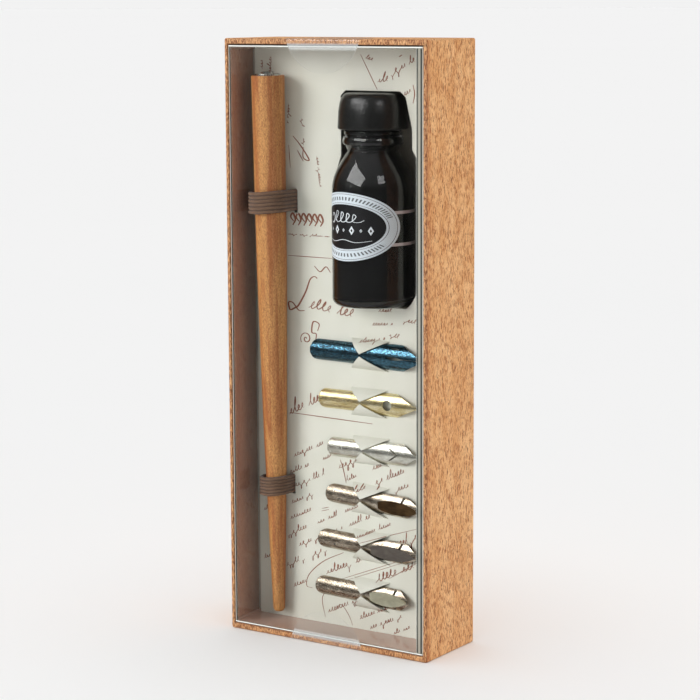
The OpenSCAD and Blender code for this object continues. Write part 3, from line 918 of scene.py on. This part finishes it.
# The neck from the shoulder up and down inside: how far out from the neck, height and rounding
FINISH = [(0, 44.3, 0.3), (1.2, 44.6, 0.4), (1.45, 45.7, 0.5), (1.1, 46.8, 0.4)]
FINISH += [(0.3, 47.05, 0.2), (0.95, 47.5, 0.3), (0.9, 48.4, 0.3), (0.3, 48.7, 0.2)]
FINISH += [(0.3, 50.2, 0.2), (1.05, 50.8, 0.25), (1.05, 51.4, 0.25), (0.3, 52.0, 0.2)]
FINISH += [(0.3, 56.8, 0.4), (MOUTH_R - NECK_R, 56.8, 0.4), (MOUTH_R - NECK_R, 44.5, 1.0)]
CAP_OUTLINE = [(0, 58.8), (6.9, 58.8, 0.5), (8.0, 58.45, 0.25), (8.7, 57.6, 0.5)]
CAP_OUTLINE += [(9.2, 56.3, 0.8), (9.62, 54.0, 1.2), (9.85, 49.2, 0.3), (9.6, 48.8, 0.2)]
CAP_OUTLINE += [(8.65, 48.8, 0.2), (8.65, 57.6), (0, 57.6)]
GLASS_T, HEEL_IN, FLOOR_IN, INK_TOP = 1.5, 2.1, 1.9, 53.8


def bottle():
    place = Matrix.Translation((BOTTLE_X, BOTTLE_Y, BOTTLE_Z))
    outer = [(0, 0.5), (8.2, 0.35), (8.9, 0.05)] + bottle_side(0, 0)
    inner = bottle_side(GLASS_T, HEEL_IN)
    neck = soften([(NECK_R + r, *rest) for r, *rest in FINISH])
    profile = outer + neck[1:] + inner[::-1] + [(0, FLOOR_IN)]
    obj = lathe("bottle_glass_blown", profile, place, 128, 50)
    own(obj, GLASS, "bottle", "bottle_glass", "bottle_glass")

    wet = 0.04
    fill = [(0, FLOOR_IN - wet)] + [(r + wet, z - wet) for r, z in inner]
    fill += [(MOUTH_R + wet, 44.2), (MOUTH_R + wet, INK_TOP), (0, INK_TOP)]
    obj = lathe("bottle_ink_fill", fill, place, 96, 50)
    own(obj, INK, "bottle", "black_ink", "bottle_ink")

    obj = lathe("bottle_cap_moulded", soften(CAP_OUTLINE), place, 128, 50)
    own(obj, CAP, "cap", "cap_plastic", "bottle_cap")
    dress(nodes["cap_liner"], FOAM)


bottle()


def on_label(arc, rise, out=0.0):
    """A point on the label's face, arc to the right of its middle and rise above it."""
    a = arc / LABEL_R - LABEL_TURN
    r = LABEL_R + out
    return (BOTTLE_X + r * math.sin(a), BOTTLE_Y - r * math.cos(a), LABEL_Z + rise)


def label():
    steps, rings = 96, 16
    ring_starts = []
    points, faces = [], []
    for out, flip in ((0.0, False), (-LABEL_T, True)):
        start = len(points)
        centre = start + rings * steps
        for i in range(1, rings + 1):
            k = i / rings
            for j in range(steps):
                a = 2 * math.pi * j / steps
                arc, rise = LABEL_HALF_ARC * math.cos(a) * k, LABEL_HALF_H * math.sin(a) * k
                points.append(on_label(arc, rise, out))
        points.append(on_label(0, 0, out))
        faces += grid_faces(rings, steps, wrap_cols=True, start=start, flip=flip)
        faces += [(start + j, start + (j + 1) % steps, centre) for j in range(steps)]
        ring_starts.append(centre - steps)
    faces += ring_faces(steps, *ring_starts)
    obj = build("bottle_label_oval", points, faces, 50)
    own(obj, LABEL, "bottle", "label_paper", "bottle_label")


label()


def stripe(name, rise, height=0.85):
    """A printed stripe that runs on round the bottle from one end of the oval to the other."""
    top, under, tuck = -0.01, -0.1, 0.3
    reach = LABEL_HALF_ARC * math.sqrt(1 - (rise / LABEL_HALF_H) ** 2)
    length = 2 * (math.pi * LABEL_R - reach + tuck)

    def place(t, u, out):
        return on_label(reach - tuck + length * t, rise + height * (u - 0.5), out)

    obj = sheet(name, 96, 3, place, (top, under), 50)
    own(obj, STRIPE, "bottle", "label_paper")


stripe("label_stripe_upper", 3.95)
stripe("label_stripe_lower", -4.85)


# ---- drawn lines


def ribbon(lines, surface):
    """Flat strips along lines of (points, width). surface gives a 2-D point's place, or None
    where there is nothing to draw on."""
    points, faces = [], []
    for line, width in lines:
        pts = [Vector(p) for p in line]
        last = None
        for i, p in enumerate(pts):
            ahead = pts[min(i + 1, len(pts) - 1)] - pts[max(i - 1, 0)]
            if ahead.length < 1e-6:
                ahead = Vector((1, 0))
            side = Vector((-ahead.y, ahead.x)).normalized()
            t = min(max(i / (len(pts) - 1), 0.06), 0.94)
            w = width * (0.5 + 0.5 * math.sin(math.pi * t)) / 2
            w *= 0.75 + 0.5 * abs(side.x)
            pair = [surface(p + side * w), surface(p - side * w)]
            if None in pair:
                last = None
                continue
            here = len(points)
            points += pair
            if last is not None:
                faces.append((last, last + 1, here + 1, here))
            last = here
    return points, faces


def pen_loops(rng, start, way, length, height, pitch):
    """Strokes of a hand-written line that spells nothing: loops with gaps between groups."""
    up = Vector((-way.y, way.x)) + way * 0.5
    strokes, pos = [], 0.0
    while pos < length - pitch:
        count = max(1, min(rng.randint(3, 8), int((length - pos) / pitch)))
        stroke = [start + way * pos]
        for _ in range(count):
            tall = height * rng.choice((1, 1, 1, 0.8, 0.9, 1.1, 0.7, 2.1, -1.3)) * rng.uniform(0.8, 1.1)
            fat, step = pitch * rng.uniform(0.05, 0.35), pitch * rng.uniform(0.8, 1.2)
            here = start + way * pos
            stroke.append(here + way * (step * 0.35 + fat) + up * tall * 0.55)
            stroke.append(here + way * (step * 0.45) + up * tall)
            stroke.append(here + way * (step * 0.42 - fat * 0.3) + up * tall * 0.45)
            stroke.append(here + way * step * 0.9 + up * height * rng.uniform(-0.05, 0.1))
            pos += step
        strokes.append(bezier_chain(stroke, 5))
        pos += pitch * rng.uniform(0.7, 1.5)
    return strokes


def spiral(x, z, r, turns=1.6):
    steps = int(turns * 20)
    marks = [(2 * math.pi * turns * i / steps, r * i / steps) for i in range(steps + 1)]
    return [(x + d * math.cos(a), z + d * math.sin(a)) for a, d in marks]


# Rows of script that climb across the card: height of a row over the card's middle, then where
# its words start, how long they are and how tall their small loops are
SLANT = 25
ROWS = {
    72: [(-20.5, 14, 2.2)],
    59: [(-19, 12, 1)],
    54.5: [(-20.5, 8, 1), (-9, 4, 0.9)],
    50: [(-20.5, 13.5, 1), (-3.5, 9.5, 1.3)],
    45.5: [(-20, 9.5, 1), (-1, 4.5, 0.8), (8, 7, 1.2)],
    41: [(-20.5, 8.5, 1), (2, 5, 1), (9, 12, 1.3)],
    36.5: [(-21.5, 7.5, 1), (-11, 8, 0.9), (-1.5, 8, 0.9), (15.5, 7, 1.1)],
    32: [(-17.5, 8, 1.1), (-8, 7, 0.8), (0, 8, 1), (10.5, 2.5, 0.8)],
    27.5: [(-22, 7, 1), (-13, 6, 1.2), (3, 13.5, 0.8)],
    20.5: [(-19.5, 5.5, 1.1), (-8, 14.5, 1.6), (16, 7.5, 1.6)],
    12.5: [(9.5, 14, 2.4)],
    9: [(-7.5, 13, 1.1)],
    3.5: [(3.5, 15, 1.1)],
    -0.5: [(7, 12.5, 1)],
    -4.5: [(15, 6, 0.8)],
}
# Other words on the card: start, direction in degrees, length and height of the small loops
WORDS = [
    (-13.5, 94, -6, 15.5, 3),
    (-20.5, 114.5, 0, 15, 0.35),
    (6, 164.5, -16, 3.5, 0.9),
    (10, 158, 7, 3.5, 1.4),
    (14.5, 160, 27, 9, 1.3),
    (18, 154, 30, 4.5, 1),
    (-20, 151.5, 264, 5.5, 0.7),
    (-15.5, 147.5, 272, 2.5, 0.6),
    (-15, 142, 276, 3, 0.6),
    (-10.5, 137, 277, 9, 0.7),
    (10, 94.5, 3, 5, 0.9),
    (8, 90.5, 5, 7.5, 0.8),
    (18.5, 92.5, -9, 4, 0.9),
    (4.5, 85.5, 9, 8, 0.7),
    (13.5, 88, -10, 3.5, 0.7),
    (-29.5, 55.5, 22, 3, 0.8),
    (-30, 33, 21, 4, 0.8),
    (-30, 18.5, 22, 4, 0.8),
    (-29, 158, 87, 6.5, 0.8),
    (-26, 159, 87, 6, 0.8),
]
# Single strokes on the card: width and points
STROKES = [
    (0.3, [(-20.5, 108.5), (-5.5, 108.5)]),
    (0.35, [(-20.5, 63), (8, 62.5)]),
    (0.22, [(4.5, 165.5), (10.5, 155)]),
    (0.2, [(4.5, 28), (22.5, 34)]),
    (0.18, [(-3, 16), (15.5, 23.5)]),
    (0.16, [(-1, 16), (17.5, 23.5)]),
    (0.2, [(13.5, 18.5), (23, 24.5)]),
    (0.2, [(-9.5, 36), (-7, 36.7)]),
    (0.2, [(-9.5, 35.3), (-7, 36)]),
    (0.3, [(17, 165), (18, 165.5)]),
    (0.3, [(21.5, 157.5), (22, 155), (21.5, 152.5)]),
    (0.25, [(-2, 24), (-9, 20.5), (-14, 16), (-15, 12.5), (-13, 12)]),
    (0.2, [(-7, 13), (-9.5, 9.5), (-8.5, 4)]),
    (0.18, [(-5, 6.5), (-3, 8.5), (-0.5, 6), (1, 3)]),
    (0.28, [(-3, 51), (-2, 48.5), (-1, 44.5)]),
    (0.35, [(-11.5, 106), (-9.5, 104.5), (-7.5, 106), (-6, 104.5)]),
    (0.4, [(-18.5, 142.5), (-16, 140), (-13, 136), (-15, 136.5), (-15, 139.5)]),
    (0.3, [(-17, 138.5), (-15, 135.5)]),
    (0.2, [(-20, 140), (-19.5, 133.5)]),
    (0.4, [(-10.5, 87.5), (-10, 89.5), (-12, 90), (-12.5, 87), (-11, 86.5), (-11.5, 83.5)]),
]
FLOURISH = [(-10.5, 102.5), (-11.5, 103), (-13, 102), (-14.5, 98.5), (-17, 94.5), (-18.5, 93.5)]
FLOURISH += [(-20, 93), (-20.5, 95), (-19, 95), (-17, 93), (-15, 93)]


def card_print():
    """Old handwriting printed on the card and on the tabs that hold the nibs."""
    mesh = nodes["insert_card"].data
    faces = [tuple(poly.vertices) for poly in mesh.polygons]
    tree = BVHTree.FromPolygons([v.co for v in mesh.vertices], faces)
    beyond = 0.05

    def on_card(p):
        start = Vector((p[0], FRONT_Y, p[1])) * MM
        hit, normal, _, _ = tree.ray_cast(start, Vector((0, 1, 0)))
        if hit is None or hit.y > (CARD_Y + beyond) * MM or normal.y > -0.3:
            return None
        return hit / MM + normal * PRINT_T

    def fine(points, gap=0.6):
        """The same line with points no further apart than the gap."""
        out = []
        for a, b in zip(points, points[1:]):
            a, b = Vector(a), Vector(b)
            steps = max(1, math.ceil((b - a).length / gap))
            out += [a + (b - a) * k / steps for k in range(steps)]
        return out + [Vector(points[-1])]

    rng = random.Random(21)
    lines = []
    climb = math.tan(math.radians(SLANT))
    rows = [(x, row + climb * x, SLANT, *word) for row, words in ROWS.items() for x, *word in words]
    for x, z, turn, length, height in rows + WORDS:
        turn = math.radians(turn)
        way = Vector((math.cos(turn), math.sin(turn)))
        pitch = 0.5 + 0.42 * height
        strokes = pen_loops(rng, Vector((x, z)), way, length, 0.85 * height, pitch)
        lines += [(fine(stroke), 0.15 + 0.06 * height) for stroke in strokes]
    for width, points in STROKES:
        smooth = bezier_chain(points, 10) if len(points) > 2 else points
        lines.append((fine(smooth), width))
    for points, width in ((FLOURISH, 0.5), (spiral(-14.5, 85, 2), 0.35)):
        lines.append((fine(bezier_chain(points, 6)), width))
    for i in range(6):
        # a band of scrolls where the card's heading is
        x, z = -18.8 + 1.9 * i, 119
        wave = [(x, z - 1.7), (x + 0.9, z), (x, z + 1.7), (x - 0.7, z + 0.6), (x + 0.3, z - 0.6)]
        lines.append((fine(bezier_chain(wave, 6), 0.3), 0.55))
    obj = build("card_handwriting", *ribbon(lines, on_card), None)
    own(obj, SEPIA, "case", "printed_card")


card_print()


def label_ornament():
    """A written flourish over a row of lozenges on the label's black oval."""

    def surface(p):
        return on_label(p[0], p[1], PRINT_T)

    flourish = []
    for turn in range(4):
        x, top = -3.6 + 2.1 * turn, 3.6 - 0.25 * turn
        flourish += [(x, 1.5), (x + 1.5, top), (x + 0.7, top + 0.6), (x + 0.5, 1.6)]
    flourish += [(5.2, 1.4), (6.6, 2.0)]
    lead = [(-5.9, 2.6), (-4.9, 3.6), (-4.0, 2.4), (-4.9, 0.9), (-6.0, 1.3)]
    under = [(-8.8, -3.6), (-4, -4.15), (0, -3.5), (4, -4.15), (8.8, -3.6)]
    lines = [(bezier_chain(points), w) for points, w in ((flourish, 0.26), (lead, 0.3), (under, 0.22))]
    points, faces = ribbon(lines, surface)
    row = -0.9
    for i in range(7):
        x = -8.4 + 2.8 * i
        half, high = (0.4, 0.5) if i % 2 else (0.85, 1.25)
        start = len(points)
        for k in (1, 0.4):
            a, b = half * k, high * k
            rim = [(x - a, row), (x, row + b), (x + a, row), (x, row - b)]
            points += [surface(p) for p in rim]
        faces += ring_faces(4, start, start + 4)
    own(build("label_flourish", points, faces, None), LABEL_WHITE, "bottle", "label_paper")


label_ornament()


# ---- clear cover and seals


def clear_cover():
    """One folded tray of clear sheet inside the rim: a front pane and four walls."""

    def fold(bm):
        if sum(f.normal.y for f in bm.faces) > 0:
            bmesh.ops.reverse_faces(bm, faces=bm.faces)
        bevel(bm, [e for e in bm.edges if not e.is_boundary], FOLD_ROUND, 3)

    w = COVER_HALF_W
    corners = [(-w, COVER_LOW), (w, COVER_LOW), (w, COVER_HIGH), (-w, COVER_HIGH)]
    points = [(x, y, z) for y in (COVER_FRONT_Y, COVER_BACK_Y) for x, z in corners]
    obj = build("clear_cover_tray", points, [(0, 1, 2, 3)] + ring_faces(4, 0, 4), 40, fold)
    panels = ["cover_front"] + ["cover_wall_" + side for side in ("left", "right", "top", "bottom")]
    own(obj, PANE, "cover", "clear_plastic", *panels)
    obj.data.materials.append(WALL)
    for poly in obj.data.polygons:
        poly.material_index = 0 if poly.normal.y < -0.2 else 1
    thicken(obj, COVER_T)
    flat = obj.modifiers.new("flat panels", "WEIGHTED_NORMAL")
    flat.keep_sharp = True
    apply_modifiers(obj)


clear_cover()


def seal(name, top):
    """A round film folded over the front edge of the box."""
    bend, lift, thick = 0.35, 0.02, 0.06
    centre = SEAL_R - SEAL_ON_FRONT
    rows, cols, band, least = 72, 28, 0.25, 0.01

    def path(s, out):
        """Place along the fold: s runs up the front, round the edge and on to the back."""
        r = bend + out
        arc = bend * math.pi / 2
        if s < -bend:
            return FRONT_Y - out, s
        if s < -bend + arc:
            a = (s + bend) / bend
            return FRONT_Y + bend - r * math.cos(a), -bend + r * math.sin(a)
        return FRONT_Y + bend + (s + bend - arc), out

    outer, inner = [], []
    for i in range(rows + 1):
        a = math.pi * i / rows
        s = centre - SEAL_R * math.cos(a)
        w = max(SEAL_R * math.sin(a), 2 * least)
        mid = max(w - band, 0)
        edge = max(w - band, least)
        marks = [-w, -edge, *(mid * (2 * j / cols - 1) for j in range(1, cols)), edge, w]
        for grid, out in ((outer, lift + thick), (inner, lift)):
            y, up = path(s, out)
            grid.append([(x, y, BOX_H + up if top else -up) for x in marks])
    obj = shell(name, outer, inner, 60)
    own(obj, FILM, "cover", "seal_film", "seal_top" if top else "seal_bottom")
    obj.data.materials.append(FILM_EDGE)
    last = len(outer[0]) - 1
    for poly in obj.data.polygons:
        columns = [v % (last + 1) for v in poly.vertices]
        poly.material_index = 1 if max(columns) <= 1 or min(columns) >= last - 1 else 0


seal("seal_top_film", True)
seal("seal_bottom_film", False)


# ---- stage, light and camera

FLOOR_HALF, FLOOR_SHADE, FLOOR_LIGHT = 40000, 0.95, 1.91
BACKDROP, AMBIENT = 0.888, 0.33
SOFTBOX_AIM, SOFTBOX_DISTANCE = Vector((0, 0, 0.1)), 1.1

# What polished surfaces see: sine of the height above the horizon, and brightness
STUDIO = [(-1.0, 0.6), (-0.36, 0.7), (-0.24, 0.14), (0.1, 0.09), (0.3, 0.3), (0.7, 0.45), (1.0, 0.6)]

# Azimuth, elevation, strength and spread
SUNS = {
    "key": (-38, 18, 2.5, 34),
    "side": (95, 22, 1.05, 24),
    "front": (60, 14, 0.25, 40),
    "back": (190, 32, 1.6, 40),
}


def floor():
    half = FLOOR_HALF
    corners = [(-half, -half, 0), (half, -half, 0), (half, half, 0), (-half, half, 0)]
    obj = build("floor", corners, [(0, 1, 2, 3)])
    shades = grey(FLOOR_SHADE), grey(FLOOR_SHADE * 1.01)
    dress(obj, mottled("floor", *shades, 0.9, (900, 900, 900), 1, specular=0.0))
    obj.visible_glossy = False
    return obj


def toward(azimuth, elevation):
    a, e = math.radians(azimuth), math.radians(elevation)
    return Vector((math.sin(a) * math.cos(e), -math.cos(a) * math.cos(e), math.sin(e)))


def lamp(name, kind, way, energy):
    """A lamp that shines back along the way it is in."""
    light = bpy.data.lights.new(name, kind)
    light.energy = energy
    obj = add_object(name, light)
    obj.rotation_mode = "QUATERNION"
    obj.rotation_quaternion = (-way).to_track_quat("-Z", "Y")
    return obj


def sun(name, azimuth, elevation, strength, spread, receivers):
    obj = lamp(name, "SUN", toward(azimuth, elevation), strength)
    obj.data.angle = math.radians(spread)
    obj.visible_glossy = False
    obj.light_linking.receiver_collection = receivers


def softbox(name, azimuth, elevation, width, height, radiance, roll=0):
    """A rectangular lamp that only shows in reflections."""
    way = toward(azimuth, elevation)
    obj = lamp(name, "AREA", way, radiance * width * height * math.pi)
    obj.data.shape = "RECTANGLE"
    obj.data.size, obj.data.size_y = width, height
    obj.location = SOFTBOX_AIM + way * SOFTBOX_DISTANCE
    turn = Matrix.Rotation(math.radians(roll), 3, "Z").to_quaternion()
    obj.rotation_quaternion = obj.rotation_quaternion @ turn
    obj.visible_diffuse = False


def studio_world():
    """Plain backdrop, soft light from all round, and a darker horizon for reflections."""
    world = bpy.data.worlds.new("studio")
    scene.world = world
    world.use_nodes = True
    world.node_tree.nodes.clear()
    sky = Nodes(world.node_tree)
    height = sky.split(sky.add("TexCoord", out="Generated"))[2]
    share = sky.add("MapRange", {"Value": height, "From Min": -1.0})
    seen = sky.ramp(share, [((h + 1) / 2, grey(bright)) for h, bright in STUDIO])
    soft, mirrored, plain = (
        sky.add("Background", {"Color": color}) for color in (grey(AMBIENT), seen, grey(BACKDROP))
    )
    light = sky.blend(sky.add("LightPath", out="Is Glossy Ray"), soft, mirrored)
    shown = sky.blend(sky.add("LightPath", out="Is Camera Ray"), light, plain)
    sky.add("OutputWorld", {"Surface": shown})


def floor_group(name, floor_piece, state):
    """A collection that tells a lamp to light only the floor, or all but the floor."""
    group = bpy.data.collections.new(name)
    group.objects.link(floor_piece)
    group.collection_objects[0].light_linking.link_state = state
    return group


def lights(floor_piece):
    studio_world()
    not_floor = floor_group("not_floor", floor_piece, "EXCLUDE")
    for name, values in SUNS.items():
        sun(name, *values, not_floor)
    sun("floor_light", 0, 88, FLOOR_LIGHT, 60, floor_group("floor_only", floor_piece, "INCLUDE"))
    softbox("softbox_key", -23, 31, 1.0, 0.55, 6.0, roll=-14)
    softbox("softbox_side", 58, 30, 0.35, 0.35, 4.0)


lights(floor())

CAMERA_TARGET = Vector((8.55, -12.7, 85.2)) * MM
CAMERA_AZIMUTH, CAMERA_ELEVATION, CAMERA_ROLL = 33.7405, 8.9189, math.radians(-0.276)
CAMERA_DISTANCE, CAMERA_LENS = 0.6138, 114.74


def camera():
    data = bpy.data.cameras.new("camera")
    data.lens = CAMERA_LENS
    data.sensor_width = 36
    data.clip_start, data.clip_end = 0.05, 200
    data.dof.use_dof = False
    obj = add_object("camera", data)
    back = toward(CAMERA_AZIMUTH, CAMERA_ELEVATION)
    right = (-back).cross(Vector((0, 0, 1))).normalized()
    up = right.cross(-back)
    c, s = math.cos(CAMERA_ROLL), math.sin(CAMERA_ROLL)
    right, up = right * c + up * s, up * c - right * s
    turn = Matrix((right, up, back)).transposed().to_4x4()
    obj.matrix_world = Matrix.Translation(CAMERA_TARGET + back * CAMERA_DISTANCE) @ turn
    scene.camera = obj


camera()
scene.view_settings.view_transform = "Standard"
